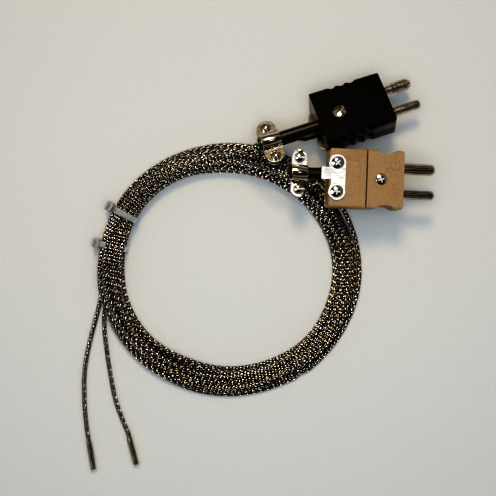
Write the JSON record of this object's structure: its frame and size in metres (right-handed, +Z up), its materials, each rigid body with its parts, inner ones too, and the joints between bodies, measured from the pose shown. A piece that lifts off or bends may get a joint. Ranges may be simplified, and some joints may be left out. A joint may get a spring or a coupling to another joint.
{
  "type": "thermocouple",
  "caption": "Pair of thermocouples with braided steel leads wound in one tied coil, closed-end probe sheaths, and two-pin plugs with cable clamps.",
  "frame": {"origin": "centre of the footprint of the plugs, ties and probes, on the surface that the coil lies on", "axes": "+X along the plugs towards their pin tips, +Y across the coil away from the probe tips, +Z up"},
  "size_m": [0.1554, 0.1765, 0.0284],
  "materials": {
    "black_plastic": "satin",
    "tan_plastic": "matte, fine speckle",
    "nickel": "nickel plated, polished",
    "brass": "machined",
    "braid": "stainless wire braid",
    "sheath_steel": "polished stainless",
    "sleeve_rubber": "heat-shrink sleeve",
    "tie_nylon": "translucent nylon",
    "white_insulation": "insulated wire",
    "red_insulation": "insulated wire",
    "bare_wire": "bare alloy wire",
    "ceramic_fill": "packed ceramic powder"
  },
  "bodies": {
    "root": {"black_base": "black_plastic", "black_cover_nut": "brass", "black_pos_pin": "nickel", "black_neg_pin": "nickel", "black_terminal_screws": "brass", "black_pos_wire": "white_insulation", "black_neg_wire": "red_insulation", "black_bracket": "nickel", "black_bracket_screws": "nickel", "black_sleeve": "sleeve_rubber", "tan_base": "tan_plastic", "tan_rear_cap": "tan_plastic", "tan_cover_nut": "brass", "tan_pos_pin": "nickel", "tan_neg_pin": "nickel", "tan_terminal_screws": "brass", "tan_pos_wire": "white_insulation", "tan_neg_wire": "red_insulation", "tan_bracket": "nickel", "tan_bracket_screws": "nickel", "tan_sleeve": "sleeve_rubber", "black_lead_start": "braid", "black_lead_tail": "braid", "tan_lead_start": "braid", "tan_lead_tail": "braid", "lower_coil": "braid", "upper_coil": "braid", "black_sheath": "sheath_steel", "black_junction": "bare_wire", "black_fill": "ceramic_fill", "tan_sheath": "sheath_steel", "tan_junction": "bare_wire", "tan_fill": "ceramic_fill", "upper_tie": "tie_nylon", "lower_tie": "tie_nylon"},
    "black_cover": {"black_cover": "black_plastic"},
    "black_cover_screw": {"black_cover_screw": "nickel"},
    "black_clamp": {"black_clamp_saddle": "nickel", "black_clamp_screws": "nickel"},
    "tan_front_cover": {"tan_front_cover": "tan_plastic"},
    "tan_cover_screw": {"tan_cover_screw": "nickel"},
    "tan_clamp": {"tan_clamp_saddle": "nickel", "tan_clamp_screws": "nickel"}
  },
  "joints": [
    {"name": "black_cover_lift", "type": "slide", "parent": "root", "child": "black_cover", "axis": [-0.0669, 0.3636, 0.9291], "range_m": [0, 0.012]},
    {"name": "black_cover_screw_turn", "type": "hinge", "parent": "black_cover", "child": "black_cover_screw", "pos_m": [0.03601, 0.06871, 0.01139], "axis": [-0.0669, 0.3636, 0.9291], "continuous": true},
    {"name": "black_clamp_open", "type": "slide", "parent": "root", "child": "black_clamp", "axis": [-0.0669, 0.3636, 0.9291], "range_m": [0, 0.002]},
    {"name": "tan_cover_lift", "type": "slide", "parent": "root", "child": "tan_front_cover", "axis": [0.076, 0.023, 0.9968], "range_m": [0, 0.012]},
    {"name": "tan_cover_screw_turn", "type": "hinge", "parent": "tan_front_cover", "child": "tan_cover_screw", "pos_m": [0.05244, 0.0405, 0.01842], "axis": [0.076, 0.023, 0.9968], "continuous": true},
    {"name": "tan_clamp_open", "type": "slide", "parent": "root", "child": "tan_clamp", "axis": [0.076, 0.023, 0.9968], "range_m": [0, 0.002]}
  ]
}
